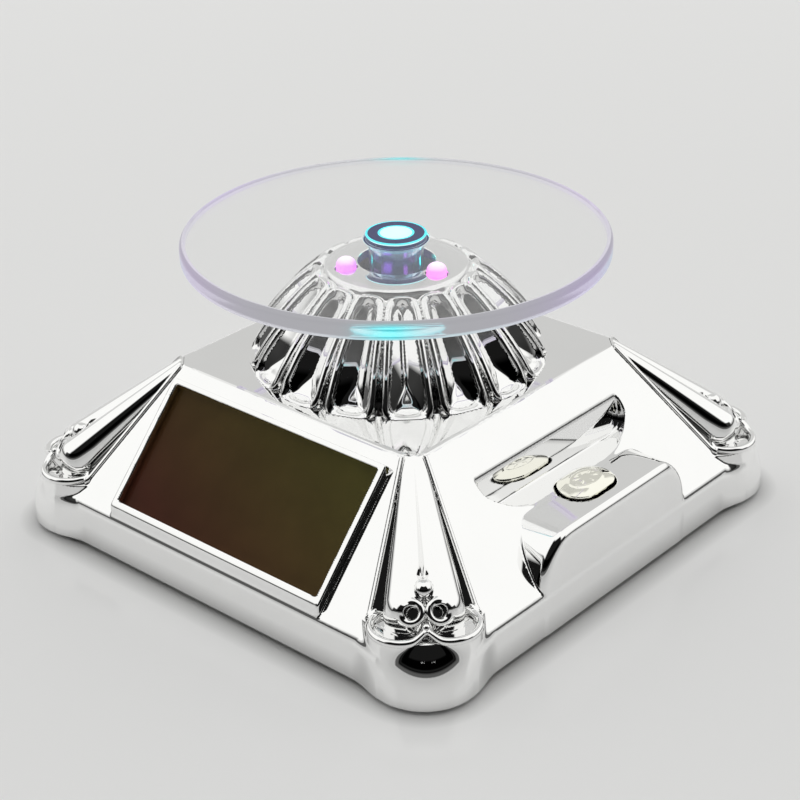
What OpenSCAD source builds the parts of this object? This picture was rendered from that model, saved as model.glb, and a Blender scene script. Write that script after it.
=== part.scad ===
// Turntable display stand: chrome pyramid base with a fluted dome, lit hub and clear platter.
// Millimetres, +Z up. The origin is the centre of the footprint, on the surface it stands on.
// The solar cell is on the -Y slope and the push button is in a notch in the +X slope.

/* [Base] */
// Width of the base across the flat sides
base_w = 104; // [100:1:110]
// Height of the vertical skirt's top edge
skirt_z = 9.1; // [8.6:0.1:9.6]
// Width of the flat top of the pyramid
plateau_w = 60.8; // [60:0.2:62]
// Height of the flat top of the pyramid
plateau_z = 32.5; // [32.5:0.1:34]
// Wall thickness of the housing
wall = 2; // [1.8:0.1:2.2]
// Radius of the round corner feet
foot_r = 10.1; // [9.8:0.1:10.4]
// Gap between the skirt and the surface it stands on
ground_gap = 0.6; // [0.4:0.1:0.8]

/* [Dome] */
// Radius of the dome where it meets the base
dome_r = 28.3; // [28:0.1:28.6]
// Height of the dome's flat cap
cap_z = 49.2; // [49:0.1:49.6]
// Radius of the flat cap
cap_r = 14.1; // [14:0.1:15]
// Radius of the hub hole in the cap
hub_hole_r = 7.2; // [7:0.1:7.3]
// Number of petals round the dome
petals = 16; // [12:4:16]

/* [Platter] */
// Diameter of the clear platter
platter_d = 80; // [70:1:90]
// Thickness of the platter
platter_t = 3.5; // [3:0.1:4]
// Height of the platter's top face
platter_z = 57; // [57:0.1:58]
// Outer radius of the platter's boss
boss_r = 5.1; // [5:0.1:5.4]

/* [Lights] */
// Number of LEDs round the hub
led_count = 3; // [3:1:3]
// Distance of each LED from the hub's axis
led_ring_r = 9.8; // [9.7:0.1:9.9]
// Diameter of an LED
led_d = 4; // [3.8:0.1:4.1]

/* [Solar cell] */
// Width of the window that shows the cell
window_w = 50.5; // [48:0.5:51]
// Height of the window, up the slope
window_h = 24.3; // [23:0.1:24.5]
// Height of the bezel above the slope
bezel_lift = 1.5; // [1:0.1:1.6]

/* [Button] */
// Height of the ledge that the button stands in
ledge_z = 19.6; // [19.4:0.1:19.8]
// Length of the oval button
button_l = 12; // [11:0.5:13]
// Width of the oval button
button_w = 8; // [7:0.5:8.5]
// Travel of the button
button_travel = 1.5; // [1:0.1:1.6]

/* [Drive] */
// Module of all the gears
gear_m = 0.5; // [0.5:0.1:0.5]
// Teeth on each wheel
wheel_teeth = 48; // [48:12:48]
// Teeth on each pinion
pinion_teeth = 12; // [12:12:12]
// Radius of the spindle in its bush
spindle_r = 2; // [1.8:0.1:2]

/* [Battery] */
// Diameter of the round cell
battery_d = 14.3; // [14:0.1:14.4]
// Length of the round cell with its nub
battery_l = 50; // [49:0.1:50.4]

/* [Hidden] */
$fn = 64;

eps = 0.01;
run_gap = 0.05;                       // radial clearance of a running or sliding fit
screw_r = 1.1;                        // self-tapping screws, shank
screw_head_r = 2.1;
head_sink = 1.25;
base_half = base_w / 2;
plateau_half = plateau_w / 2;
slope_run = base_half - plateau_half;
slope_rise = plateau_z - skirt_z;
slope_len = sqrt(slope_run * slope_run + slope_rise * slope_rise);
slope_angle = atan2(slope_rise, slope_run);
wall_across = wall / sin(slope_angle); // the slope wall, measured level
foot_at = base_half - 8.6;
corner_cut = 3;                        // chamfer on the plateau's corners
facet_at = (plateau_half * 2 - corner_cut) / sqrt(2); // the corner facets start here on the diagonal
facet_angle = 46.6;                    // their fall
corner_reach = foot_at * sqrt(2) + foot_r - 6; // the skirt's corners are cut back under the feet
roof_z = plateau_z - wall;             // underside of the plateau

platter_r = platter_d / 2;
platter_low = platter_z - platter_t;
boss_z = 43.9;                         // lower end of the boss, on the spindle's collar
drive_r = 2.85;                        // spindle where it plugs into the boss
drive_flat = 2.3;                      // half the distance across the two drive flats
drive_top = 54.9;

board_z = 44;                          // underside of the LED board
board_t = 1.2;
spigot_r = 25;                         // the dome's spigot in the plateau's hole
spigot_low = roof_z;
dome_wall = 2.4;
dome_screw_at = 21.3;                  // distance of the dome's screws from the axis
dome_boss_r = 2.6;
led_screw_at = 11.2;
petal_low = [28.2, 33.5];              // lower end of a petal's chord: radius and height
petal_high = [16.3, 48];
dish_r = 5;                            // the scooped dish in a petal, and its lift above the chord
dish_lift = 0.15;
groove_r = 1.5;                        // the groove between two petals
groove_lift = 0.05;

gear_gap = gear_m * (wheel_teeth + pinion_teeth) / 2; // distance between meshing axes
second_at = [0, gear_gap];
first_at = [-gear_gap * cos(30), gear_gap / 2];
motor_at = [-gear_gap * cos(30), -gear_gap / 2];
gear_t = 2;
pressure_angle = 25;
out_z = 25;                            // underside of the output gear
second_z = 22;                         // underside of the second gear's wheel
first_z = 19.2;                        // underside of the first gear's wheel
axle_r = 1;
box_top_z = roof_z - 2.2;              // underside of the gearbox's top plate
box_base_z = 16.6;                     // underside of the gearbox's base plate
plate_t = 2;
box_top_r = 27.5;
wire_hole_at = [18, -9.2];
wire_r = 0.6;
post_at = [[16, 14], [12, -18], [-22, -8]];
post_r = 2.6;
motor_r = 12.2;
motor_low = 4.2;
motor_screw_at = 7;                    // distance of the motor's screws from its axis
bush_r = 4;
bush_top = 33;

cover_z = 1;                           // underside of the bottom cover
cover_t = 2;
cover_gap = 0.3;
cover_screw_z = cover_z + 1.3;
foot_pad_r = 4.5;
foot_pad_at = 37;

bay_y = -33.2;                         // axis of the battery
bay_z = 11.2;
bay_r = 7.6;
bay_half = 29.5;
bay_wall = 1.2;
door_half_l = 31.4;
door_y = [-43.6, -22.6];
door_t = 1.3;
door_travel = 5;
tab_at = 18;
tab_w = 6;

button_at = 44.5;
button_rise = 1.6;                     // how far the button stands above the ledge
notch_back = 36.4;                     // the notch's flat back wall
ledge_neck = 14.2;                     // half the width of the ledge's narrowest place
block_back = 34;                       // where the ledge's block starts, inside the slope
switch_w = 8.4;
switch_low = 6;
switch_top = 13.4;
switch_floor = 1;
plunger_r = 1.4;
cap_low = ledge_z - wall - 0.9;        // underside of the button's flange
plunger_low = 11;                      // underside of the plunger's flange
board_low = 4.8;                       // underside of the control board
board_at = [22, -8];                   // corner of the control board nearest the middle
board_size = [27, 30, 1.2];
board_screw_at = [[25, -4], [45, 18]];

// ---- outlines and shared shapes ----

// The notch's opening seen from above: wide at the back wall, narrow at the ledge's neck
function notch_half(grow) = [
    [notch_back - grow, 20.6 + grow], [37.8, 20.9 + grow], [39.4, 19.2 + grow],
    [41.1, 17.2 + grow], [42.4, 15.4 + grow], [43.6, ledge_neck + grow], [48, ledge_neck + grow]
];

// The front of the ledge's block: shoulders that round down to the skirt
function block_half(grow) = [
    [21.7 - grow, skirt_z - 3], [21.7 - grow, skirt_z + 0.5], [21.4 - grow, 12 - grow / 2],
    [20.3 - grow, 14.6 - grow / 2], [18.7 - grow, 16.8 - grow], [16.6 - grow, 18.4 - grow],
    [14.4 - grow, ledge_z - 0.3 - grow], [12.8 - grow, ledge_z - grow]
];

function mirrored(half) = concat(half, [for (i = [len(half) - 1:-1:0]) [half[i][0], -half[i][1]]]);
function mirrored_x(half) = concat(half, [for (i = [len(half) - 1:-1:0]) [-half[i][0], half[i][1]]]);

// Involute tooth: half angle that the tooth fills at radius r
function involute(a) = tan(a) * 180 / PI - a;
function tooth_half(r, base_r, pitch_half) =
    pitch_half + involute(pressure_angle) - involute(acos(min(1, base_r / r)));

module gear_outline(teeth) {
    pitch_r = gear_m * teeth / 2;
    base_r = pitch_r * cos(pressure_angle);
    tip_r = pitch_r + 0.85 * gear_m;
    root_r = pitch_r - 1.15 * gear_m;
    backlash = 0.05;
    pitch_half = 90 / teeth - backlash / pitch_r * 180 / PI;
    flank_r = [for (k = [0:3]) max(base_r, root_r) + (tip_r - max(base_r, root_r)) * k / 3];
    flank = [for (r = flank_r) [r, tooth_half(r, base_r, pitch_half)]];
    tooth = concat([[root_r, tooth_half(base_r, base_r, pitch_half)]], flank);
    last = len(tooth) - 1;
    polygon([
        for (i = [0:teeth - 1], k = [0:2 * last + 1])
            let (p = k <= last ? [tooth[k][0], -tooth[k][1]] : tooth[2 * last + 1 - k],
                 a = i * 360 / teeth + p[1])
            [p[0] * cos(a), p[0] * sin(a)]
    ]);
}

module gear(teeth, turn = 0) {
    rotate(turn) linear_extrude(gear_t) gear_outline(teeth);
}

module at(place, z) {
    translate([place[0], place[1], z]) children();
}

module tube(outer, inner, h) {
    difference() {
        cylinder(r = outer, h = h);
        translate([0, 0, -eps]) cylinder(r = inner, h = h + 2 * eps);
    }
}

// A pan-head screw pointing up, its head's top face at z = 0 and its shank above
module screw(length, head = screw_head_r, shank = screw_r - 0.3) {
    difference() {
        union() {
            translate([0, 0, -1.2]) cylinder(r = head, h = 1.2);
            cylinder(r = shank, h = length);
            translate([0, 0, length]) cylinder(r1 = shank, r2 = shank / 3, h = 1);
        }
        for (a = [0, 90])
            rotate(a) translate([-head * 0.6, -0.25, -1.2 - eps]) cube([head * 1.2, 0.5, 0.6]);
    }
}

// A surface swept through rings of points, closed at both ends
module swept(points, rings, sides) {
    walls = [
        for (i = [0:rings - 2], k = [0:sides - 1])
            let (n = (k + 1) % sides)
            [i * sides + n, (i + 1) * sides + n, (i + 1) * sides + k, i * sides + k]
    ];
    ends = [[for (k = [sides - 1:-1:0]) k], [for (k = [0:sides - 1]) (rings - 1) * sides + k]];
    polyhedron(points, concat(walls, ends), convexity = 10);
}

// A point of the smooth curve that runs through p[i] and p[i + 1]
function curve_point(p, i, f) =
    let (last = len(p) - 1, a = p[max(0, i - 1)], b = p[i], c = p[i + 1], d = p[min(last, i + 2)])
    b + (c - a) * f / 2 + (2 * a - 5 * b + 4 * c - d) * f * f / 2 + (3 * b - a - 3 * c + d) * f * f * f / 2;

function unit(v) = v / norm(v);

// A round wire along a smooth curve through a list of points
module wire(p, r) {
    steps = 4;
    sides = 8;
    path = concat(
        [for (i = [0:len(p) - 2], k = [0:steps - 1]) curve_point(p, i, k / steps)],
        [p[len(p) - 1]]
    );
    last = len(path) - 1;
    points = [
        for (i = [0:last])
            let (along = unit(path[min(last, i + 1)] - path[max(0, i - 1)]),
                 side = unit(cross(along, [0, 0, 1])), up = cross(side, along))
            for (k = [0:sides - 1])
                path[i] + r * (side * cos(360 * k / sides) + up * sin(360 * k / sides))
    ];
    swept(points, last + 1, sides);
}

// A helical spring of round wire
module coil(r_low, r_high, h, turns, wire_r) {
    rings = 16 * turns + 1;
    sides = 8;
    points = [
        for (i = [0:rings - 1], k = [0:sides - 1])
            let (f = i / (rings - 1), a = 360 * turns * f, b = 360 * k / sides,
                 out = r_low + (r_high - r_low) * f + wire_r * cos(b))
            [out * cos(a), out * sin(a), h * f + wire_r * sin(b)]
    ];
    swept(points, rings, sides);
}

// ---- housing ----

// A four-sided slope as the overlap of two extruded trapezoids, pulled in by the wall
module pyramid(pull, low, high) {
    half = base_half - pull;
    run = pull == 0 ? 0 : wall_across;
    top = plateau_half - run + (plateau_z - high) * slope_run / slope_rise;
    shoulder = min(high, skirt_z + (half - base_half + run) * slope_rise / slope_run);
    side = [[-half, low], [half, low], [half, shoulder], [top, high], [-top, high], [-half, shoulder]];
    intersection() {
        rotate([90, 0, 0]) linear_extrude(base_w, center = true) polygon(side);
        rotate([90, 0, 90]) linear_extrude(base_w, center = true) polygon(side);
    }
}

// Cuts the flat facets under the corner ornaments, pulled in by the wall
module faceted(pull) {
    difference() {
        children();
        corners() translate([facet_at, 0, plateau_z]) rotate([0, facet_angle, 0])
            translate([-20, -40, -pull]) cube([80, 80, 40]);
    }
}

module corners() {
    for (a = [45, 135, 225, 315]) rotate(a) children();
}

// One corner foot, drawn along +X: a round column under two long lobes, a bead and two scrolls
module corner_foot() {
    diagonal = foot_at * sqrt(2);
    translate([diagonal, 0, ground_gap]) cylinder(r = foot_r, h = 11.4);
    translate([diagonal, 0, ground_gap + 11.4]) cylinder(r1 = foot_r, r2 = foot_r - 2.4, h = 2.2);
    for (side = [-1, 1]) {
        lobe_low = [diagonal + 2.6, side * 3.1, 13.8];
        lobe_high = [40.2, side * 1.1, 29.8];
        lobe(lobe_low, 3.6, lobe_high, 1.7);
        translate([diagonal + 4.2, side * 2.9, 15.4]) sphere(r = 2.4);
    }
    lobe([diagonal + 0.6, 0, 12.6], 2.6, [41, 0, 28], 1); // fills the gap under the two long lobes
    translate([diagonal + 0.4, 0, 18.4]) sphere(r = 1.8);
}

// A tapered round lobe between two points
module lobe(low, low_r, high, high_r) {
    run = high - low;
    length = norm(run);
    translate(low) sphere(r = low_r);
    translate(low)
        rotate([0, acos(run[2] / length), atan2(run[1], run[0])])
            cylinder(r1 = low_r, r2 = high_r, h = length);
}

// Places its children on the -Y slope: X along the slope, Y up it, Z out of it
module on_cell_slope() {
    translate([0, -base_half, skirt_z]) rotate([slope_angle, 0, 0]) children();
}

window_low = 3.7;                      // the window's lower edge, up the slope from the skirt
cell_w = window_w + 2.4;
cell_h = window_h + 1.8;
cell_t = 1.6;

module notch_space(grow) {
    translate([0, 0, ledge_z - grow]) linear_extrude(20) polygon(mirrored(notch_half(grow)));
}

module ledge_block(grow) {
    translate([block_back, 0, 0]) rotate([90, 0, 90]) linear_extrude(base_half - block_back - grow)
        polygon(mirrored_x(block_half(grow)));
}

module housing_outside() {
    difference() {
        union() {
            intersection() {
                faceted(0) pyramid(0, ground_gap, plateau_z);
                rotate(45) cube([2 * corner_reach, 2 * corner_reach, 3 * plateau_z], center = true);
            }
            corners() corner_foot();
            ledge_block(0);
            on_cell_slope() translate([-window_w / 2 - 2.3, window_low - 1.7, -wall])
                cube([window_w + 4.6, window_h + 3.6, wall + bezel_lift]);
        }
        notch_space(0);
        plateau_corner_cuts();
    }
}

module plateau_corner_cuts() {
    corners() translate([facet_at, -10, plateau_z - eps])
        cube([20, 20, 10]);
}

module housing_inside() {
    difference() {
        union() {
            faceted(wall) pyramid(wall, -1, roof_z);
            corners() translate([foot_at * sqrt(2), 0, -1]) cylinder(r = foot_r - wall, h = 12);
            intersection() {
                ledge_block(wall);
                translate([30, -30, -1]) cube([30, 60, ledge_z - wall + 1]);
            }
        }
        notch_space(wall);
        corners() translate([foot_at * sqrt(2), 0, cover_z + cover_t]) cylinder(r = 3.4, h = 40);
    }
}

module housing() {
    color("gainsboro")
    difference() {
        housing_outside();
        housing_inside();
        // hole for the dome's spigot
        translate([0, 0, roof_z - 1]) cylinder(r = spigot_r, h = 10);
        // window, and the pocket behind it that holds the cell
        on_cell_slope() {
            translate([-window_w / 2, window_low, -wall - 1]) cube([window_w, window_h, 8]);
            translate([-cell_w / 2, window_low - 0.9, -wall - 1]) cube([cell_w, cell_h, wall + 1]);
        }
        // oval hole for the button
        translate([button_at, 0, ledge_z - wall - 1]) linear_extrude(6) oval(button_l + 0.8, button_w + 0.8);
        // pilot holes for the cover's screws
        corners() translate([foot_at * sqrt(2), 0, 0]) cylinder(r = screw_r - 0.3, h = 12);
    }
}

module oval(length, width) {
    square([width, length - width], center = true);
    for (side = [-1, 1]) translate([0, side * (length - width) / 2]) circle(d = width);
}

// ---- dome ----

function dome_profile() = [
    [dome_r, plateau_z], [28, 34.2], [26.8, 36.4], [24.9, 39], [22.8, 41.6], [20.4, 44.2],
    [17.7, 46.8], [15.6, 48.4], [cap_r, cap_z]
];

module dome() {
    color("gainsboro")
    difference() {
        union() {
            rotate_extrude() polygon(concat([[0, plateau_z]], dome_profile(), [[0, cap_z]]));
            translate([0, 0, spigot_low]) cylinder(r = spigot_r - run_gap, h = plateau_z - spigot_low);
        }
        difference() {
            union() {
                rotate_extrude() polygon(concat(
                    [[0, plateau_z - eps]],
                    [for (p = dome_profile()) [p[0] - dome_wall, min(p[1], cap_z - 1.8)]],
                    [[0, cap_z - 1.8]]
                ));
                translate([0, 0, spigot_low - 1]) cylinder(r = spigot_r - 2, h = plateau_z - spigot_low + 1);
            }
            for (i = [0:2]) {
                rotate(120 * i) translate([dome_screw_at, 0, spigot_low])
                    cylinder(r = dome_boss_r, h = 16);
                rotate(120 * i + 60) translate([led_screw_at, 0, board_z + board_t])
                    cylinder(r = 1.8, h = 10);
            }
        }
        // hub hole, LED holes and pilot holes
        translate([0, 0, cap_z - 5]) cylinder(r = hub_hole_r, h = 10);
        for (i = [0:2]) {
            rotate(120 * i) translate([led_ring_r, 0, cap_z - 5]) cylinder(d = led_d + 0.2, h = 10);
            rotate(120 * i) translate([dome_screw_at, 0, spigot_low - 1]) cylinder(r = screw_r - 0.3, h = 8);
            rotate(120 * i + 60) translate([led_screw_at, 0, board_z]) cylinder(r = 0.7, h = 4);
        }
        // petals: a scooped dish in each, and a groove between neighbours
        for (i = [0:petals - 1]) {
            rotate(i * 360 / petals) petal_cut(dish_r, dish_lift);
            rotate((i + 0.5) * 360 / petals) petal_cut(groove_r, groove_lift);
        }
    }
}

// A straight round cut over +X that comes out of the dome's curve at both ends.
// Its deepest line is parallel to the petal's chord, and this far above it.
module petal_cut(cut_r, lift) {
    run = petal_high - petal_low;
    lean = atan2(run[0], run[1]);
    out = [cos(lean), -sin(lean)] * (cut_r + lift);
    translate([petal_low[0] + out[0], 0, petal_low[1] + out[1]])
        rotate([0, lean, 0]) cylinder(r = cut_r, h = norm(run));
}

module dome_screws() {
    color("silver")
    for (i = [0:2]) rotate(120 * i) translate([dome_screw_at, 0, box_top_z]) screw(8);
}

module solar_cell() {
    color([0.24, 0.19, 0.1])
    on_cell_slope() translate([-cell_w / 2 + 0.1, window_low - 0.8, -cell_t])
        cube([cell_w - 0.2, cell_h - 0.2, cell_t - 0.02]);
}

// ---- lights ----

module leds() {
    color([0.9, 0.75, 1])
    for (i = [0:led_count - 1]) rotate(360 / led_count * i) translate([led_ring_r, 0, board_z + board_t]) {
        cylinder(d = led_d, h = cap_z - board_z - board_t - 0.1);
        translate([0, 0, cap_z - board_z - board_t - 0.1]) sphere(d = led_d);
    }
}

module led_board() {
    color("seagreen")
    translate([0, 0, board_z])
    difference() {
        tube(13.4, hub_hole_r, board_t);
        for (i = [0:2]) rotate(120 * i + 60) translate([led_screw_at, 0, -1]) cylinder(r = 0.9, h = 4);
    }
}

module led_board_screws() {
    color("silver")
    for (i = [0:2]) rotate(120 * i + 60) translate([led_screw_at, 0, board_z]) screw(3, 1.5, 0.7);
}

// ---- platter and spindle ----

module drive_shape(r, flat, h) {
    intersection() {
        cylinder(r = r, h = h);
        translate([-r - 1, -flat, -1]) cube([2 * r + 2, 2 * flat, h + 2]);
    }
}

module platter() {
    edge = 1.2;
    color([0.85, 0.93, 1, 0.45])
    difference() {
        union() {
            translate([0, 0, platter_low]) rotate_extrude($fn = 128) polygon([
                [0, 0], [platter_r - edge, 0], [platter_r - edge * 0.3, edge * 0.3], [platter_r, edge],
                [platter_r, platter_t - edge], [platter_r - edge * 0.3, platter_t - edge * 0.3],
                [platter_r - edge, platter_t], [0, platter_t]
            ]);
            translate([0, 0, boss_z]) cylinder(r = boss_r, h = platter_low - boss_z + 1);
            translate([0, 0, platter_low - 1.2]) cylinder(r1 = boss_r, r2 = boss_r + 0.7, h = 1.3);
        }
        translate([0, 0, boss_z - eps])
            drive_shape(drive_r + run_gap, drive_flat + run_gap, drive_top + 0.2 - boss_z);
    }
}

module spindle() {
    color("silver") {
        translate([0, 0, box_base_z + 0.65]) cylinder(r = spindle_r, h = boss_z - box_base_z - 2);
        translate([0, 0, boss_z - 2]) cylinder(r = 4.6, h = 2 - 0.02);
        translate([0, 0, boss_z - 1]) drive_shape(drive_r, drive_flat, drive_top - boss_z + 1);
    }
}

module output_gear() {
    color("ivory")
    difference() {
        translate([0, 0, out_z]) union() {
            gear(wheel_teeth);
            cylinder(r = 4.5, h = gear_t + 0.2);
        }
        translate([0, 0, out_z - 1]) cylinder(r = spindle_r, h = 6);
    }
}

module spindle_bush() {
    color("goldenrod")
    translate([0, 0, box_top_z]) tube(bush_r, spindle_r + run_gap, bush_top - box_top_z);
}

module thrust_washer() {
    color("white")
    translate([0, 0, out_z + gear_t + 0.3]) tube(4.5, spindle_r + 0.2, box_top_z - out_z - gear_t - 0.3);
}

// ---- gearbox ----

module gearbox_top() {
    color("dimgray")
    difference() {
        translate([0, 0, box_top_z]) cylinder(r = box_top_r, h = roof_z - box_top_z);
        translate([0, 0, box_top_z - 1]) cylinder(r = bush_r, h = 5);
        for (place = post_at) {
            at(place, box_top_z - 1) cylinder(r = screw_r, h = 5);
            at(place, roof_z - head_sink) cylinder(r = screw_head_r + 0.2, h = 3);
        }
        for (i = [0:2])
            rotate(120 * i) translate([dome_screw_at, 0, box_top_z - 1]) cylinder(r = screw_r, h = 5);
        for (place = [second_at, first_at]) at(place, box_top_z - 1) cylinder(r = axle_r, h = 2.6);
        at(wire_hole_at, box_top_z - 1) cylinder(r = 2.6, h = 5);
    }
}

module gearbox_base() {
    color("dimgray")
    difference() {
        union() {
            at([-3, 1], box_base_z) linear_extrude(plate_t) hull() {
                for (place = [[19, 13], [15, -19], [-19, -9], [-10, 7], [3, 14]])
                    translate(place) circle(r = 3.6, $fn = 32);
            }
            for (place = post_at) at(place, box_base_z) cylinder(r = post_r, h = box_top_z - box_base_z);
        }
        for (place = post_at) at(place, box_top_z - 8) cylinder(r = screw_r - 0.3, h = 10);
        for (place = [second_at, first_at]) at(place, box_base_z + 0.6) cylinder(r = axle_r, h = 5);
        translate([0, 0, box_base_z + 0.6]) cylinder(r = spindle_r + run_gap, h = 5);
        at(motor_at, box_base_z - 1) cylinder(r = 3.1, h = 5);
        for (side = [-1, 1]) at(motor_at + [side * motor_screw_at, 0], box_base_z) {
            translate([0, 0, -1]) cylinder(r = screw_r, h = 5);
            translate([0, 0, 1]) cylinder(r = 2.2, h = 5);
        }
    }
}

module gearbox_screws() {
    color("silver")
    for (place = post_at) at(place, roof_z - head_sink) rotate([180, 0, 0]) screw(7);
}

module gear_axles() {
    color("silver")
    for (place = [second_at, first_at])
        at(place, box_base_z + 0.6) cylinder(r = axle_r, h = box_top_z + 1.6 - box_base_z - 0.6);
}

// A wheel with a pinion above it, and hubs that keep it between the plates
module compound_gear(wheel_z, turn) {
    hub_low = box_base_z + plate_t + 0.2;
    hub_top = box_top_z - 0.2;
    difference() {
        union() {
            translate([0, 0, wheel_z]) gear(wheel_teeth);
            translate([0, 0, wheel_z + gear_t]) cylinder(r = 2, h = 0.7);
            translate([0, 0, wheel_z + gear_t + 0.6]) gear(pinion_teeth, turn);
            translate([0, 0, hub_low]) cylinder(r = 2, h = wheel_z + 0.2 - hub_low);
            translate([0, 0, wheel_z + 2 * gear_t]) cylinder(r = 2, h = hub_top - wheel_z - 2 * gear_t);
        }
        translate([0, 0, 10]) cylinder(r = axle_r + run_gap, h = 30);
    }
}

module second_gear() {
    color("ivory")
    at(second_at, 0) compound_gear(second_z, 15);
}

module first_gear() {
    color("ivory")
    at(first_at, 0) compound_gear(first_z, 15);
}

module motor_pinion() {
    color("goldenrod")
    difference() {
        at(motor_at, first_z) gear(pinion_teeth, 15);
        at(motor_at, first_z - 1) cylinder(r = axle_r, h = 5);
    }
}

module motor_shaft() {
    color("silver")
    at(motor_at, motor_low + 2) cylinder(r = axle_r, h = first_z + gear_t - motor_low - 2);
}

module motor() {
    color("silver")
    difference() {
        at(motor_at, 0) union() {
            translate([0, 0, motor_low]) cylinder(r = motor_r, h = box_base_z - motor_low);
            translate([0, 0, box_base_z - 1]) cylinder(r = 3, h = 2.4);
        }
        at(motor_at, motor_low + 1.9) cylinder(r = axle_r + run_gap, h = 20);
        for (side = [-1, 1])
            at(motor_at + [side * motor_screw_at, 0], box_base_z - 3) cylinder(r = screw_r - 0.3, h = 4);
    }
}

module motor_screws() {
    color("silver")
    for (side = [-1, 1])
        at(motor_at + [side * motor_screw_at, 0], box_base_z + 1) rotate([180, 0, 0]) screw(2.4, 2, 0.8);
}

// ---- button and switch ----

module button_cap() {
    color("whitesmoke")
    difference() {
        union() {
            translate([button_at, 0, cap_low]) linear_extrude(ledge_z + button_rise - 0.6 - cap_low)
                oval(button_l, button_w);
            translate([button_at, 0, ledge_z + button_rise - 0.6]) linear_extrude(0.6)
                oval(button_l - 1, button_w - 1);
            translate([button_at, 0, cap_low]) linear_extrude(0.8) oval(button_l + 2, button_w + 2);
        }
        translate([button_at, 0, cap_low - 1]) cylinder(r = plunger_r, h = 2.2);
    }
}

module switch_plunger() {
    color("white")
    translate([button_at, 0, 0]) {
        translate([0, 0, plunger_low]) cylinder(r = 2.8, h = 1);
        translate([0, 0, plunger_low]) cylinder(r = plunger_r, h = cap_low + 1.2 - plunger_low);
    }
}

module switch_spring() {
    color("silver")
    translate([button_at, 0, switch_low + switch_floor + 0.2])
        coil(2.1, 2.1, plunger_low - switch_low - switch_floor - 0.4, 5, 0.18);
}

module switch_body() {
    color("black")
    translate([button_at - switch_w / 2, -switch_w / 2, switch_low])
    difference() {
        cube([switch_w, switch_w, switch_top - switch_low]);
        translate([switch_w / 2, switch_w / 2, switch_floor]) cylinder(r = 3, h = 5.4);
        translate([switch_w / 2, switch_w / 2, switch_floor]) cylinder(r = plunger_r + run_gap, h = 10);
    }
}

module control_board() {
    color("seagreen")
    difference() {
        union() {
            at(board_at, board_low) cube(board_size);
            at([26, 8], board_low + 1.1) cube([6, 8, 1.7]);      // controller chip
            at([30, 2], board_low + 1.1) cylinder(r = 2.5, h = 6); // capacitor
            at([37, 10], board_low + 1.1) cube([3.2, 1.6, 1]);   // resistor
        }
        for (place = board_screw_at) at(place, board_low - 1) cylinder(r = screw_r, h = 4);
    }
}

module board_screws() {
    color("silver")
    for (place = board_screw_at) at(place, board_low + 1.2) rotate([180, 0, 0]) screw(2.6);
}

// ---- underside ----

module cover_outline(pull) {
    intersection() {
        square(2 * (base_half - wall - pull), center = true);
        rotate(45) square(2 * (corner_reach - wall - pull), center = true);
    }
    corners() translate([foot_at * sqrt(2), 0]) circle(r = foot_r - wall - pull);
}

module door_space(clear) {
    depth = door_y[1] - door_y[0] + door_travel + 2 * clear;
    translate([-door_half_l - clear, door_y[0] - clear, cover_z - 1])
        cube([2 * (door_half_l + clear), depth, 1 + door_t + clear]);
}

module bottom_cover() {
    color("silver")
    difference() {
        union() {
            translate([0, 0, cover_z]) linear_extrude(cover_t) cover_outline(cover_gap);
            translate([-bay_half - bay_wall, bay_y, bay_z]) rotate([0, 90, 0])
                cylinder(r = bay_r + bay_wall, h = 2 * (bay_half + bay_wall));
            translate([-bay_half - bay_wall, bay_y - bay_r - bay_wall, cover_z + 1])
                cube([2 * (bay_half + bay_wall), 2 * (bay_r + bay_wall), bay_z - cover_z - 1]);
            for (place = board_screw_at)
                at(place, cover_z + 1) cylinder(r = 2.6, h = board_low - cover_z - 1);
        }
        translate([-bay_half, bay_y, bay_z]) rotate([0, 90, 0]) cylinder(r = bay_r, h = 2 * bay_half);
        translate([-bay_half, bay_y - bay_r, 0]) cube([2 * bay_half, 2 * bay_r, bay_z]);
        door_space(0.3);
        for (side = [-1, 1])
            translate([side * tab_at - tab_w / 2 - 0.3, bay_y - bay_r - 4, cover_z + cover_t])
                cube([tab_w + 0.6, 6, 1.4]);
        corners() translate([foot_at * sqrt(2), 0, -1]) {
            cylinder(r = screw_r + 0.2, h = 6);
            cylinder(r = screw_head_r + 0.4, h = cover_screw_z + 1);
        }
        for (x = [-1, 1], y = [-1, 1])
            translate([x * foot_pad_at, y * foot_pad_at, -1]) cylinder(r = foot_pad_r, h = 2.6);
        for (place = board_screw_at) at(place, cover_z + 1) cylinder(r = screw_r - 0.3, h = 4);
    }
}

module cover_screws() {
    color("silver")
    corners() translate([foot_at * sqrt(2), 0, cover_screw_z]) screw(8, screw_head_r, screw_r - 0.3);
}

module rubber_feet() {
    color([0.15, 0.15, 0.15])
    for (x = [-1, 1], y = [-1, 1])
        translate([x * foot_pad_at, y * foot_pad_at, 0]) cylinder(r = foot_pad_r, h = cover_z + 0.6);
}

module battery_door() {
    color("silver") {
        difference() {
            translate([-door_half_l, door_y[0], cover_z])
                cube([2 * door_half_l, door_y[1] - door_y[0], door_t]);
            for (i = [0:3]) translate([-10, door_y[0] + 3 + 2 * i, cover_z - 1]) cube([20, 1, 1.4]);
        }
        for (side = [-1, 1]) translate([side * tab_at - tab_w / 2, 0, 0]) {
            translate([0, bay_y - bay_r + 0.2, cover_z + door_t - eps])
                cube([tab_w, 1.6, cover_t - door_t + 0.95]);
            translate([0, bay_y - bay_r - 2.4, cover_z + cover_t + 0.1]) cube([tab_w, 4.2, 0.8]);
        }
    }
}

module battery() {
    nub_l = 1;
    color([0.75, 0.7, 0.3])
    translate([battery_l / 2 - nub_l, bay_y, bay_z]) rotate([0, -90, 0]) {
        cylinder(d = battery_d, h = battery_l - nub_l);
        translate([0, 0, -nub_l]) cylinder(r = 2.7, h = nub_l + eps);
    }
}

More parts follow.
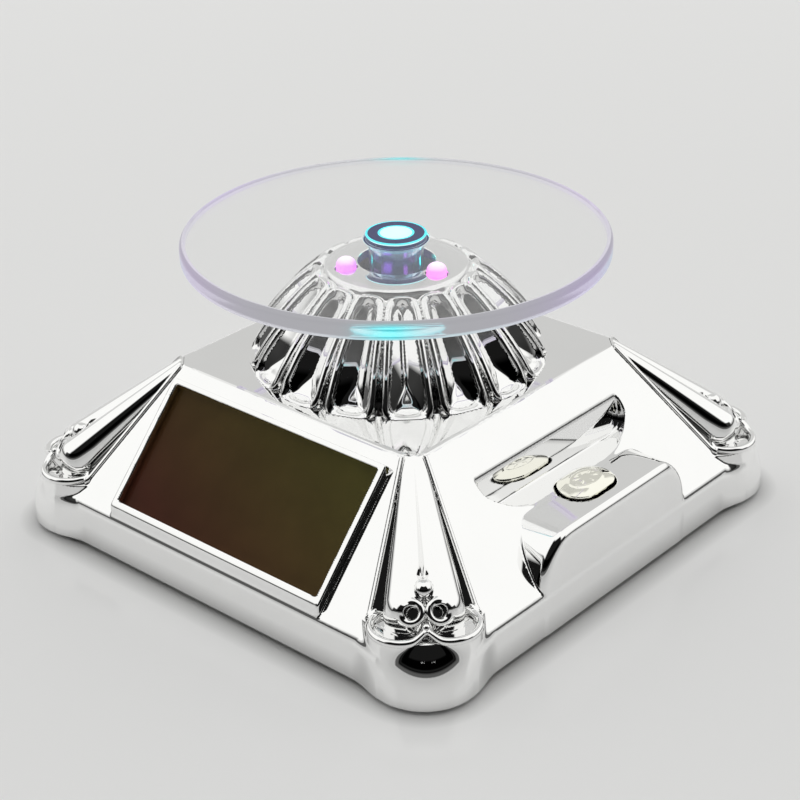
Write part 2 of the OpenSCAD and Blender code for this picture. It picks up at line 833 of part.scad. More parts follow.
module positive_contact() {
    color("gold")
    translate([bay_half - 0.5, bay_y - 4.5, bay_z - 4.5]) {
        translate([0.1, 0, 0]) cube([0.4, 9, 9]);
        translate([-3.3, 4.5, 4.5]) rotate([0, 90, 0]) cylinder(r1 = 2, r2 = 3, h = 3.5);
    }
}

module negative_contact() {
    color("gold") {
        translate([-bay_half, bay_y - 4.5, bay_z - 4.5]) cube([0.4, 9, 9]);
        translate([-bay_half + 0.3, bay_y, bay_z]) rotate([0, 90, 0]) coil(4, 2.2, 3.8, 3, 0.3);
    }
}

// ---- wiring ----

module motor_wires() {
    color("red") {
        wire([
            [-12, -18.5, 8], [-9, -21.8, 7], [4, -21.6, 5.4], [18, -14, 4.6], [31.6, -6.4, 5.4]
        ], wire_r);
        wire([
            [-15, -18.5, 10.4], [-11, -21.9, 9.4], [3, -20, 7.4], [18, -11.4, 6], [28.4, -6.4, 5.4]
        ], wire_r);
    }
}

module cell_wires() {
    color("red") {
        wire([[24, -37.7, 23.1], [28.6, -32, 22.4], [33, -28.6, 19.6], [35.6, -22, 13], [37, -13, 7.6],
            [37, -6.4, 5.4]], wire_r);
        wire([[20, -37.7, 23.1], [24, -30, 24], [30.6, -23.6, 18], [32.6, -18, 11], [34, -12, 7.4],
            [34, -6.4, 5.4]], wire_r);
    }
}

module battery_wires() {
    color("black") {
        wire([[29.2, -30, 14], [32.5, -28, 13], [38, -18, 7], [42.8, -6.4, 5.4]], wire_r);
        wire([
            [-29.2, -31, 14], [-32.6, -27, 12], [-31.4, -22.4, 7], [-24, -22.2, 4.2], [0, -22.6, 3.8],
            [18, -17, 3.8], [32, -12, 4], [39.8, -6.6, 5.4]
        ], wire_r);
    }
}

module led_wires() {
    color("blue") {
        wire([
            [11.6, -3.4, 44.4], [16, -6, 38], [18.4, -8.2, 31], [20.6, -9, 22], [24.4, -2, 12], [24, 3, 5.4]
        ], wire_r);
        wire([
            [10.4, -6, 44.4], [15, -9, 38], [17.4, -10, 31], [20.4, -12.2, 22], [22, -4, 11], [23.4, 6.4, 5.4]
        ], wire_r);
    }
}

housing();
dome();
dome_screws();
solar_cell();
leds();
led_board();
led_board_screws();
platter();
spindle();
output_gear();
spindle_bush();
thrust_washer();
gearbox_top();
gearbox_base();
gearbox_screws();
gear_axles();
second_gear();
first_gear();
motor_pinion();
motor_shaft();
motor();
motor_screws();
button_cap();
switch_plunger();
switch_spring();
switch_body();
control_board();
board_screws();
bottom_cover();
cover_screws();
rubber_feet();
battery_door();
battery();
positive_contact();
negative_contact();
motor_wires();
cell_wires();
battery_wires();
led_wires();
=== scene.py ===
import math

import bmesh
import bpy
import numpy as np
from mathutils import Matrix, Vector


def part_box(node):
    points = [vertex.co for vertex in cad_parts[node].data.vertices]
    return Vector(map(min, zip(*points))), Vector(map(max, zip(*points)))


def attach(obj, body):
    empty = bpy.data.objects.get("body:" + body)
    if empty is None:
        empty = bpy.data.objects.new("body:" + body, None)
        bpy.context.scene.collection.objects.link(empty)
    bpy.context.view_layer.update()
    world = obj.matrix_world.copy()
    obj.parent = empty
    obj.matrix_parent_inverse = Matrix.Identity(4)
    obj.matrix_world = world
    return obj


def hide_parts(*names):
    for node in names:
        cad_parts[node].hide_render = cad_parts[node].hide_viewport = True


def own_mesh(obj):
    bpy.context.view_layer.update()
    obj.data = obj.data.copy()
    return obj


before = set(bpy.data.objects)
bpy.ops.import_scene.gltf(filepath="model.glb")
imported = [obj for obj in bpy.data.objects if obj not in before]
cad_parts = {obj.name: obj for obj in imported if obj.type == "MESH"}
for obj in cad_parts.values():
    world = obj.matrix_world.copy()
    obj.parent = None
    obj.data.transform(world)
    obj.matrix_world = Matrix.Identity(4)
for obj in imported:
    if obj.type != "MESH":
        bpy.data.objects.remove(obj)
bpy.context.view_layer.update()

# Every shape below is worked out in millimetres and built in metres.
MM = 0.001


# ---- sizes, in mm ----

HALF = 52.0                      # half the width of the base
SKIRT_Z = 9.1                    # top edge of the vertical skirt
PLATEAU_HALF = 30.4              # half the width of the flat top under the dome
PLATEAU_Z = 32.5
GROUND_GAP = 0.6                 # the rubber feet hold the base this far off the ground
WALL = 2.0
FOOT_AT = 43.4                   # centre of a corner foot, along X and along Y
FOOT_T = FOOT_AT * math.sqrt(2)  # the same centre, along the diagonal
FOOT_R = 10.1
CORNER_TRIM = 65.5               # the skirt's corners are cut back under the feet

RUN = HALF - PLATEAU_HALF
RISE = PLATEAU_Z - SKIRT_Z
SLOPE_LEN = math.hypot(RUN, RISE)
OUT, UP = RISE / SLOPE_LEN, RUN / SLOPE_LEN    # the slope's normal: outward and upward part

# the corners: places are along the diagonal, across it and up
FACET_TOP = 40.87                # the flat facet under each ornament starts here
FACET_FALL = 1.057               # its fall per mm along the diagonal
WEDGE_HALF = 2.3                 # half the ornament's width at the facet's top
WEDGE_SPREAD = 0.3804            # what that half gains per mm along the diagonal
WEDGE_COS = 0.9346               # the cosine of the spread's angle
SCROLL_AT, SCROLL_R = (63.3, 4.0), 5.8         # the round end on each side of the outline
LIP_Z = 12.3                     # height of the moustache-shaped lip on the foot
LOBE_LOW, LOBE_LOW_R = (62.5, 3.2, 13.75), 4.05
LOBE_HIGH, LOBE_HIGH_R = (38.5, 0.5, 33.2), 1.05
LOBE_FRONT, LOBE_FRONT_R = (61.1, 3.1), 4.15
EYE_AT, EYE_AXIS = (64.5, 2.35, 15.9), (0.74, 0.24, 0.63)
EYE_RING_R, EYE_TUBE_R, EYE_DRILL_R = 1.8, 0.65, 1.05
BEADS = [((61.3, 0, 18.2), 1.75), ((66.6, 0, 14.2), 0.75)]

# the solar cell's frame on the -Y slope: half widths, and places up the slope from the skirt
BEZEL_HALF, BEZEL_RISE = 26.6, 1.5
WINDOW_HALF, WINDOW_LOW, WINDOW_HIGH = 25.25, 3.7, 28
POCKET_HALF, POCKET_LOW, POCKET_HIGH = 26.3, 2.8, 28.9

# the button, its notch and its ledge on the +X slope
BUTTON_X = 44.5
BUTTON_HALF_L, BUTTON_HALF_W = 6.0, 4.0
BUTTON_STRAIGHT = BUTTON_HALF_L - BUTTON_HALF_W
BUTTON_GAP = 0.4
NOTCH_BACK = 37.0                # the notch's back wall where it meets the ledge
BACK_COS, BACK_SIN = 0.9877, 0.1564            # the back wall leans 9 degrees
NOTCH_HALF = 20.9                # half the notch's width at its mouth
NECK_HALF = 14.2                 # and at its neck
NECK_COS, NECK_SIN = 0.8036, 0.5952            # the sides close in at about 36.5 degrees
LEDGE_Z = 19.6
BLOCK_HALF, SHOULDER, SHOULDER_RISE = 12.3, 9.5, 11.2

# the dome: its profile is one arc about (DOME_AT, DOME_CENTRE_Z)
DOME_R, DOME_AT, DOME_CENTRE_Z = 42.44, -9.72, 13.54
DOME_START = 0.463               # the arc's angle at the plateau
DOME_SHELL = 3.3                 # from the arc to the inside
DOME_SCREW_RING, DOME_SCREW_BOSS = 21.3, 2.6
COLLAR_R, COLLAR_HOLE_R = 24.95, 23
CAP_Z = 49.2                     # the dome's flat top
PETALS = 16
PETAL_TOP = 20.6                 # where the petals end, measured up the dome
PETAL_SHARE = 0.77               # a petal's share of the pitch
PETAL_RIM_R = 0.8                # the bead round each petal
HUB_HOLE_R = 7.2
LED_RING = 9.8
LED_D = 4.0
LED_GLOW = 49.3, 51.0            # a LED's colour fades to white between these heights
THIRDS = [2 * math.pi * i / 3 for i in range(3)]    # headings of the LEDs and the dome's screws

# the platter
PLATTER_R = 40.0
PLATTER_THICK = 3.5
BOSS_R, BORE_R = 5.1, 2.95
BORE_TOP = 55.1                  # the blind bore in the boss ends here
AXIS_R = 0.02                    # turned shapes stop this far from the axis, and are capped there


# ---- camera: the azimuth is from -Y towards +X ----

VIEW_AZIMUTH = 41.794            # degrees
VIEW_ELEVATION = 26.883
VIEW_ROLL = -1.118
VIEW_DISTANCE = 0.3742           # m
LOOK_AT = Vector((0, 0, 0.026))
SENSOR, LENS = 36, 87.7905       # mm
SHIFT_X, SHIFT_Y = 0.0014125, -0.023725


# ---- fields: negative inside, positive outside, in mm ----

def smax(a, b, k):
    """Larger of two fields, which keeps what is in both, with a round edge about k wide."""
    near = np.maximum(k - np.abs(a - b), 0) / k
    return np.maximum(a, b) + near * near * k / 4


def smin(a, b, k):
    """Smaller of two fields, which joins them, with a fillet about k wide."""
    return -smax(-a, -b, k)


def ball(t, w, z, centre, radius):
    return np.sqrt((t - centre[0]) ** 2 + (w - centre[1]) ** 2 + (z - centre[2]) ** 2) - radius


def ramp(v, low, high):
    """0 below low and 1 above high, with a smooth step between."""
    f = np.clip((v - low) / (high - low), 0, 1)
    return f * f * (3 - 2 * f)


def lobe(t, w, z, low, low_r, high, high_r):
    """A tapered round bar between two points."""
    run = [h - l for h, l in zip(high, low)]
    length = sum(r * r for r in run)
    f = ((t - low[0]) * run[0] + (w - low[1]) * run[1] + (z - low[2]) * run[2]) / length
    f = np.clip(f, 0, 1)
    off = (t - low[0] - f * run[0], w - low[1] - f * run[1], z - low[2] - f * run[2])
    return np.sqrt(off[0] ** 2 + off[1] ** 2 + off[2] ** 2) - (low_r + f * (high_r - low_r))


def corner_outline(t, w):
    """The ornament's outline seen from above: a wedge that ends in two round lobes with a cusp."""
    side = (w - (WEDGE_HALF + (t - FACET_TOP) * WEDGE_SPREAD)) * WEDGE_COS
    wedge = np.maximum(side, t - 60.3)
    scroll = np.hypot(t - SCROLL_AT[0], w - SCROLL_AT[1]) - SCROLL_R
    return smin(wedge, scroll, 0.5)


def facet_height(t, z):
    """Distance above the flat facet that cuts the pyramid's corner."""
    return (FACET_FALL * (t - FACET_TOP) + z - PLATEAU_Z) / math.hypot(FACET_FALL, 1)


def corner_foot(body, t, w, z):
    """Adds the round foot and cuts the facet that the ornament stands on."""
    tray = np.minimum(facet_height(t, z) + 0.15, z - LIP_Z + 0.3)
    body = smax(body, tray, 0.15)
    depth = np.sqrt(1 - np.clip((z - 3) / 11.8, 0, 0.85) ** 2)
    column = (np.hypot(np.maximum(t - FOOT_T, 0) / depth, w) - FOOT_R) * depth
    skirt = np.maximum(corner_outline(t, w) + 0.85, 59 - t)
    column = smin(column, skirt, 0.8)
    column = np.maximum(column, FOOT_T - 9 - t)
    column = smax(column, z - LIP_Z + 0.3, 0.3)
    return smin(body, column, 0.3 + 2.1 * (1 - ramp(z, 7.5, 10.5)))


def ornament_field(t, across, z):
    """A corner's ornament, along +X: the rim of the facet, the lip, two lobes, two eyes and beads."""
    w = np.abs(across)
    edge = corner_outline(t, w)
    slope = OUT * ((t + w) / math.sqrt(2) - HALF) + UP * (z - SKIRT_Z)
    band = smax(slope - 0.3, np.abs(edge + 0.35) - 0.35, 0.25)
    rim = np.maximum(band, np.maximum(-1.2 - facet_height(t, z), z - PLATEAU_Z))
    rim = np.maximum(rim, np.maximum(t - 60.2, FACET_TOP + 0.3 - t))
    cusp = 1.2 * np.exp(-(w / 1.6) ** 2) * ramp(t, 63, 65.5)
    lip = np.maximum(np.hypot(edge + 0.6, z - LIP_Z - 0.2 - cusp) - 0.7, 59.4 - t)
    rim = smin(rim, lip, 0.5)

    lobes = lobe(t, w, z, LOBE_LOW, LOBE_LOW_R, LOBE_HIGH, LOBE_HIGH_R)
    front = np.hypot(np.maximum(t - LOBE_FRONT[0], 0), w - LOBE_FRONT[1]) - LOBE_FRONT_R
    lobes = smax(lobes, front, 1.1)
    pit = lobe(t, w, z, (59.6, 0, 20.2), 0.9, (56.6, 0, 22.4), 0.1)
    lobes = np.maximum(smax(lobes, -pit, 0.3), z - PLATEAU_Z)
    # an eye, drilled where the lobe turns down, and the ring round it
    dt, dw, dz = t - EYE_AT[0], w - EYE_AT[1], z - EYE_AT[2]
    h = dt * EYE_AXIS[0] + dw * EYE_AXIS[1] + dz * EYE_AXIS[2]
    off = np.sqrt(np.maximum(dt ** 2 + dw ** 2 + dz ** 2 - h * h, 0))
    lobes = smin(lobes, np.hypot(off - EYE_RING_R, h) - EYE_TUBE_R, 0.35)
    lobes = smax(lobes, -np.maximum(off - EYE_DRILL_R, -1.6 - h), 0.3)
    beads = np.minimum(*(ball(t, w, z, centre, radius) for centre, radius in BEADS))
    return np.maximum(np.minimum(smin(rim, lobes, 0.3), beads), LIP_Z - 1 - z)


def notch(x, y, z):
    """The button's recess: a flat back, sides that close in to a neck, and a floor that sweeps up."""
    ay = np.abs(y)
    side = NECK_COS * (x - 38.0) + NECK_SIN * (ay - NOTCH_HALF)
    side = smax(smin(side, ay - NECK_HALF, 1.0), ay - NOTCH_HALF, 1.0)
    bowl = smax(side, LEDGE_Z - z, 4.0)
    return smax(bowl, BACK_COS * (NOTCH_BACK - x) - BACK_SIN * (z - LEDGE_Z), 0.5)


def ledge_block(x, y, z):
    """The block in front of the button: a flat top and shoulders that round down to the skirt."""
    aside, above = np.maximum(np.abs(y) - BLOCK_HALF, 0), np.maximum(z - SKIRT_Z, 0)
    shoulder = np.hypot(aside / SHOULDER, above / SHOULDER_RISE) - 1
    shape = smax(shoulder * SHOULDER, z - LEDGE_Z, 0.8)
    shape = smax(shape, x - HALF, 1.8)
    return np.maximum(shape, 34 - x)


def housing_field(x, y, z):
    """The hollow pyramid with its feet, the cell's frame and the button's notch and ledge."""
    ax, ay = np.abs(x), np.abs(y)
    reach = np.maximum(ax, ay)
    t, w = (ax + ay) / math.sqrt(2), np.abs(ax - ay) / math.sqrt(2)
    slope = OUT * (reach - HALF) + UP * (z - SKIRT_Z)
    body = smax(slope, reach - HALF, 0.7)
    body = smax(body, z - PLATEAU_Z, 0.6)
    body = np.maximum(body, t - CORNER_TRIM)
    body = corner_foot(body, t, w, z)

    # bezel and window of the solar cell, on the -Y slope
    lift = np.where(y < 0, slope, 9.0)
    along = UP * (y + HALF) + OUT * (z - SKIRT_Z)
    bezel = smax(ax - BEZEL_HALF, np.maximum(-51.5 - y, y + 33.2), 0.5)
    bezel = smax(bezel, lift - BEZEL_RISE, 0.35)
    body = smin(body, np.maximum(bezel, -lift - 1), 0.25)
    window = smax(ax - WINDOW_HALF, np.maximum(WINDOW_LOW - along, along - WINDOW_HIGH), 0.5)
    body = smax(body, -np.maximum(window, -lift - 4), 0.25)
    pocket = np.maximum(ax - POCKET_HALF, np.maximum(POCKET_LOW - along, along - POCKET_HIGH))
    body = np.maximum(body, -np.maximum(pocket, np.maximum(lift, -lift - 4)))

    # the button's notch and ledge, on the +X slope
    recess = notch(x, y, z)
    body = smax(body, -recess, 0.5)
    block = ledge_block(x, y, z)
    body = smin(body, block, 0.35)
    hole = np.hypot(x - BUTTON_X, np.maximum(ay - BUTTON_STRAIGHT, 0)) - (BUTTON_HALF_W + BUTTON_GAP)
    body = smax(body, -np.maximum(hole, 12 - z), 0.3)

    # the hollow inside, round the pillars over the feet, and the dome's hole in the plateau
    inside = np.maximum(np.maximum(slope, reach - HALF), z - PLATEAU_Z) + WALL
    inside = np.maximum(inside, np.maximum(facet_height(t, z) + 2.3, t - 62))
    inside = smin(inside, np.maximum(np.hypot(t - FOOT_T, w) - FOOT_R + WALL, z - 9.5), 0.5)
    inside = np.maximum(inside, WALL - recess)
    inside = np.minimum(inside, block + WALL)
    boss = np.maximum(np.hypot(t - FOOT_T, w) - 3.4, 3 - z)
    inside = np.maximum(inside, -boss)
    body = np.maximum(body, -inside)
    body = np.maximum(body, -np.maximum(np.hypot(x, y) - 25, 29 - z))
    return smax(body, GROUND_GAP - z, 0.4)


# ---- dome ----

def petal_relief(a, s, rho):
    """Height of the relief: a is mm from the petal's middle, s is mm up the dome, rho the radius."""
    half = PETAL_SHARE * math.pi / PETALS * rho
    f = np.clip(s / 20, 0, 1)
    edge = smax(smax(a - half, 0.1 - s, 2.8), s - PETAL_TOP, 3.0)
    rim = np.sqrt(np.maximum(PETAL_RIM_R ** 2 - edge ** 2, 0) + 0.02) - 0.14
    # the scoop is a V whose floor is a narrow slit, and widens to a flat floor at the foot
    slot = 0.5 + 2.5 * (1 - ramp(s, 2, 7.5)) - 0.2 * f
    floor = 0.7 * np.maximum(half - slot, 0.5) + 0.6 * (1 - ramp(s, 3, 8))
    ends = np.minimum(0.6 * s, 0.6 * (20.4 - s))
    scoop = smin(smin(0.7 * (half - 0.5 - a), floor, 0.5), ends, 0.4)
    scoop = np.clip(scoop, 0, 2.4)
    valley = 0.75 * ramp(edge, 0.45, 1.0)
    return rim - scoop - valley


def dome_field(x, y, z):
    """The hollow dome with its petals, its screw bosses, and the holes for the hub and the LEDs."""
    rho = np.hypot(x, y)
    pitch = 2 * math.pi / PETALS
    turn = np.arctan2(y, x) + pitch / 2
    a = np.abs(turn - pitch * np.floor(turn / pitch) - pitch / 2)
    shell = np.hypot(rho - DOME_AT, z - DOME_CENTRE_Z) - DOME_R
    s = DOME_R * (np.arctan2(z - DOME_CENTRE_Z, np.maximum(rho - DOME_AT, 0.01)) - DOME_START)
    relief = petal_relief(a * rho, s, rho)
    between = (pitch / 2 - a) * rho
    rib = 0.5 * np.exp(-(between / 0.3) ** 2) * ramp(s, 3, 6) * (1 - ramp(s, 16, 19))
    fade = 1 - ramp(s, PETAL_TOP, PETAL_TOP + 2)
    body = (shell - (relief + rib) * fade + 0.5) * 0.75
    body = smax(body, z - CAP_Z, 1.3)
    body = np.maximum(body, PLATEAU_Z - z)
    body = np.minimum(body, np.maximum(rho - COLLAR_R, np.maximum(30.5 - z, z - 33)))
    inside = np.maximum(shell + DOME_SHELL, z - CAP_Z + 1.8)
    inside = np.where(z < PLATEAU_Z, np.maximum(inside, rho - COLLAR_HOLE_R), inside)
    for angle in THIRDS:
        ux, uy = math.cos(angle), math.sin(angle)
        boss = np.hypot(x - DOME_SCREW_RING * ux, y - DOME_SCREW_RING * uy) - DOME_SCREW_BOSS
        inside = np.maximum(inside, -boss)
        hole = np.hypot(x - LED_RING * ux, y - LED_RING * uy) - LED_D / 2 - 0.1
        body = smax(body, -np.maximum(hole, 45 - z), 0.25)
    body = smax(body, -np.maximum(rho - HUB_HOLE_R, 44 - z), 0.4)
    return np.maximum(body, -inside)


# ---- from a field to a mesh ----

def graded(stops):
    lines = []
    for (a, step), (b, _) in zip(stops, stops[1:]):
        step = step * 1
        lines += list(np.linspace(a, b, max(1, round((b - a) / step)), endpoint=False))
    return np.array(lines + [stops[-1][0]])


def both_sides(stops):
    """Graded lines, mirrored about zero."""
    half = graded(stops)
    return np.concatenate([-half[:0:-1], half])


def grid_values(field, axes, block=8):
    """The field at every grid point, worked out only in the blocks that the surface may cross."""
    shape = [len(a) for a in axes]
    values = np.empty(shape)
    starts = [range(0, n, block) for n in shape]
    todo = np.array([(i, j, k) for i in starts[0] for j in starts[1] for k in starts[2]])
    ends = np.minimum(todo + block, np.array(shape) - 1)
    low = np.stack([axes[d][todo[:, d]] for d in range(3)], 1)
    high = np.stack([axes[d][ends[:, d]] for d in range(3)], 1)
    middle, radius = (low + high) / 2, np.linalg.norm(high - low, axis=1) / 2
    level = field(*middle.T)
    busy = np.abs(level) < radius * 1.4 + 0.8
    for (i, j, k), sign in zip(todo[~busy], np.sign(level[~busy])):
        values[i:i + block, j:j + block, k:k + block] = sign
    for group in np.array_split(todo[busy], max(1, int(busy.sum()) // 400)):
        index = [group[:, d, None] + np.arange(block)[None] for d in range(3)]
        i = np.minimum(index[0], shape[0] - 1)[:, :, None, None]
        j = np.minimum(index[1], shape[1] - 1)[:, None, :, None]
        k = np.minimum(index[2], shape[2] - 1)[:, None, None, :]
        i, j, k = np.broadcast_arrays(i, j, k)
        values[i, j, k] = field(axes[0][i], axes[1][j], axes[2][k])
    return values


def gradient(field, p, reach=0.01):
    """The field's gradient at points, from two samples along each axis."""
    out = np.empty_like(p)
    for d in range(3):
        step = np.zeros(3)
        step[d] = reach
        out[:, d] = (field(*(p + step).T) - field(*(p - step).T)) / (2 * reach)
    return out


def settle(field, p, rounds=3):
    """Moves points onto the surface, by at most 0.25 mm in a round."""
    for _ in range(rounds):
        g = gradient(field, p)
        size = np.maximum((g * g).sum(1), 0.05)
        move = (field(*p.T) / size)[:, None] * g
        length = np.maximum(np.linalg.norm(move, axis=1), 1e-9)[:, None]
        p = p - move * np.minimum(1, 0.25 / length)
    return p


def surface_net(field, axes):
    """Points and quads of the surface where the field is zero."""
    values = grid_values(field, axes)
    inside = values < 0
    n = [len(a) - 1 for a in axes]
    count = np.zeros(n, np.int8)
    corners = [(i, j, k) for i in (0, 1) for j in (0, 1) for k in (0, 1)]
    for i, j, k in corners:
        count += inside[i:i + n[0], j:j + n[1], k:k + n[2]]
    cells = np.argwhere((count > 0) & (count < 8))
    index = np.full(n, -1, np.int64)
    index[tuple(cells.T)] = np.arange(len(cells))
    total, hits = np.zeros((len(cells), 3)), np.zeros(len(cells))
    for a in corners:
        for d in range(3):
            if a[d]:
                continue
            b = tuple(1 if e == d else a[e] for e in range(3))
            ca, cb = cells + a, cells + b
            va, vb = values[tuple(ca.T)], values[tuple(cb.T)]
            cross = (va < 0) != (vb < 0)
            f = np.where(cross, va / np.where(cross, va - vb, 1), 0)[:, None]
            pa = np.stack([axes[e][ca[:, e]] for e in range(3)], 1)
            pb = np.stack([axes[e][cb[:, e]] for e in range(3)], 1)
            total += np.where(cross[:, None], pa + f * (pb - pa), 0)
            hits += cross
    points = total / hits[:, None]
    quads = []
    for d in range(3):
        u, v = (d + 1) % 3, (d + 2) % 3
        span = [slice(1, m) for m in n]
        span[d] = slice(0, n[d])
        nxt = list(span)
        nxt[d] = slice(1, n[d] + 1)
        first, second = inside[tuple(span)], inside[tuple(nxt)]
        edges = np.argwhere(first != second)
        outward = first[tuple(edges.T)]
        edges = edges + [0 if e == d else 1 for e in range(3)]
        ring = []
        for du, dv in ((0, 0), (-1, 0), (-1, -1), (0, -1)):
            cell = edges.copy()
            cell[:, u] += du
            cell[:, v] += dv
            ring.append(index[tuple(cell.T)])
        ring = np.stack(ring, 1)
        quads.append(np.where(outward[:, None], ring, ring[:, ::-1]))
    return settle(field, points), np.concatenate(quads)


def new_object(name, mesh):
    """An object of the mesh, in the scene."""
    obj = bpy.data.objects.new(name, mesh)
    bpy.context.scene.collection.objects.link(obj)
    return obj


def field_object(name, field, axes, faces):
    """A closed mesh of the field's surface, thinned to a number of faces, with exact normals."""
    points, quads = surface_net(field, axes)
    mesh = bpy.data.meshes.new(name)
    mesh.from_pydata(points, [], quads.tolist())
    obj = new_object(name, mesh)
    if len(quads) * 2 > faces:
        thin = obj.modifiers.new("thin", "DECIMATE")
        thin.ratio = faces / (len(quads) * 2)
        graph = bpy.context.evaluated_depsgraph_get()
        thinned = bpy.data.meshes.new_from_object(obj.evaluated_get(graph))
        obj.modifiers.clear()
        obj.data = thinned
        bpy.data.meshes.remove(mesh)
        mesh = thinned
        mesh.name = name
    count = len(mesh.vertices)
    points = np.empty(count * 3)
    mesh.vertices.foreach_get("co", points)
    points = settle(field, points.reshape(-1, 3), 2)
    normals = gradient(field, points)
    normals /= np.maximum(np.linalg.norm(normals, axis=1), 1e-9)[:, None]
    mesh.vertices.foreach_set("co", (points * MM).ravel())
    mesh.update()
    mesh.shade_smooth()
    exact_normals(mesh, normals)
    return obj


def exact_normals(mesh, normals):
    """Corner normals from the field, but large flat faces and faces on a crease keep their own."""
    corner = np.empty(len(mesh.loops), np.int64)
    mesh.loops.foreach_get("vertex_index", corner)
    start = np.empty(len(mesh.polygons), np.int64)
    mesh.polygons.foreach_get("loop_start", start)
    face_normal = np.empty(len(mesh.polygons) * 3)
    mesh.polygons.foreach_get("normal", face_normal)
    face_normal = face_normal.reshape(-1, 3)
    area = np.empty(len(mesh.polygons))
    mesh.polygons.foreach_get("area", area)
    size = np.diff(np.append(start, len(corner)))
    owner = np.repeat(np.arange(len(start)), size)
    loops = normals[corner].copy()
    agree = (loops * face_normal[owner]).sum(1)
    large, crease = area[owner] > 0.25 * MM * MM, agree < 0.3
    own = large & (agree < 0.9995) | crease
    loops[own] = face_normal[owner][own]
    mesh.normals_split_custom_set(loops.tolist())


# ---- shapes by rings and by polar grids ----

def ring_mesh(name, rings):
    """A surface through rings of points (each a list of (x, y, z) in mm), closed at both ends."""
    bm = bmesh.new()
    rows = [[bm.verts.new([c * MM for c in p]) for p in ring] for ring in rings]
    for low, high in zip(rows, rows[1:]):
        for i in range(len(low)):
            j = (i + 1) % len(low)
            bm.faces.new((low[i], low[j], high[j], high[i]))
    bm.faces.new(rows[0][::-1])
    bm.faces.new(rows[-1])
    bmesh.ops.recalc_face_normals(bm, faces=bm.faces)
    mesh = bpy.data.meshes.new(name)
    bm.to_mesh(mesh)
    bm.free()
    mesh.shade_smooth()
    return new_object(name, mesh)


def rounded(profile, steps=5):
    """A profile of (radius, height, corner radius) points as a fine outline with round corners."""
    out = []
    for i, (r, z, turn) in enumerate(profile):
        here = Vector((r, z))
        before = Vector(profile[i - 1][:2]) - here
        after = Vector(profile[(i + 1) % len(profile)][:2]) - here
        turn = min(turn, before.length * 0.49, after.length * 0.49)
        if turn <= 0:
            out.append(tuple(here))
            continue
        a, b = here + before.normalized() * turn, here + after.normalized() * turn
        # a point just before and after the curve keeps the shading of the straight parts flat
        out.append(tuple(a + before.normalized() * turn * 0.02))
        for k in range(steps + 1):
            f = k / steps
            out.append(tuple((1 - f) ** 2 * a + 2 * f * (1 - f) * here + f * f * b))
        out.append(tuple(b + after.normalized() * turn * 0.02))
    return out


def turned(name, outline, segments, at=(0, 0)):
    """An outline of (radius, height) points turned about a vertical axis."""
    angles = [2 * math.pi * k / segments for k in range(segments)]
    rings = [[(at[0] + r * math.cos(a), at[1] + r * math.sin(a), z) for a in angles]
             for r, z in outline]
    return ring_mesh(name, rings)


def sharpen(obj, angle=35):
    """Marks edges sharper than an angle, so that smooth shading stops there."""
    obj.data.set_sharp_from_angle(angle=math.radians(angle))


# ---- materials ----

def node_material(name, color, rough, metallic=0.0, **sockets):
    """A material on the Principled shader; sockets are its other inputs, with _ for a space."""
    mat = bpy.data.materials.new(name)
    mat.use_nodes = True
    shader = mat.node_tree.nodes["Principled BSDF"]
    shader.inputs["Base Color"].default_value = (*color, 1)
    shader.inputs["Roughness"].default_value = rough
    shader.inputs["Metallic"].default_value = metallic
    for socket, value in sockets.items():
        shader.inputs[socket.replace("_", " ")].default_value = value
    return mat


def add(mat, kind, **inputs):
    """A new node with some of its inputs set."""
    node = mat.node_tree.nodes.new(kind)
    for key, value in inputs.items():
        node.inputs[key.replace("_", " ")].default_value = value
    return node


def noise(mat, scale, stretch=(1, 1, 1), detail=3.0):
    """Noise in the piece's own coordinates, scale in features per metre."""
    link = mat.node_tree.links.new
    place = add(mat, "ShaderNodeTexCoord")
    shift = add(mat, "ShaderNodeMapping", Scale=stretch)
    tex = add(mat, "ShaderNodeTexNoise", Scale=scale, Detail=detail)
    link(place.outputs["Object"], shift.inputs["Vector"])
    link(shift.outputs["Vector"], tex.inputs["Vector"])
    return tex.outputs["Fac"]


def blend_colors(mat, fac, low, high, low_at=0.3, high_at=0.7):
    """A colour that runs from low to high as fac goes from low_at to high_at."""
    bands = add(mat, "ShaderNodeValToRGB")
    bands.color_ramp.elements[0].position = low_at
    bands.color_ramp.elements[0].color = (*low, 1)
    bands.color_ramp.elements[1].position = high_at
    bands.color_ramp.elements[1].color = (*high, 1)
    mat.node_tree.links.new(fac, bands.inputs["Fac"])
    return bands.outputs["Color"]


def span(mat, fac, low, high):
    """A factor of 0 to 1 turned into low to high."""
    node = add(mat, "ShaderNodeMapRange", To_Min=low, To_Max=high)
    mat.node_tree.links.new(fac, node.inputs["Value"])
    return node.outputs["Result"]


def grain(mat, scale, bump, rough, stretch=(1, 1, 1), tint=None):
    """Uneven gloss, a fine bump and, with tint, a slight change of colour."""
    link = mat.node_tree.links.new
    shader = mat.node_tree.nodes["Principled BSDF"]
    fac = noise(mat, scale, stretch)
    link(span(mat, fac, *rough), shader.inputs["Roughness"])
    if bump:
        node = add(mat, "ShaderNodeBump", Strength=bump, Distance=0.0001)
        link(fac, node.inputs["Height"])
        link(node.outputs["Normal"], shader.inputs["Normal"])
    if tint:
        link(blend_colors(mat, fac, *tint), shader.inputs["Base Color"])
    return mat


def chrome(name, color):
    """Vacuum-plated plastic: a mirror with a faint waviness and faint handling haze."""
    mat = node_material(name, color, 0.03, 1.0)
    return grain(mat, 90, 0.012, (0.015, 0.05), tint=([c * 0.985 for c in color], color))


def plastic(name, color, rough):
    """Moulded plastic, rubber or lacquer: fine grain and a slight change of shade."""
    mat = node_material(name, color, rough)
    dark = [c * 0.9 for c in color]
    return grain(mat, 1500, 0.12, (rough - 0.07, rough + 0.08), tint=(dark, color))


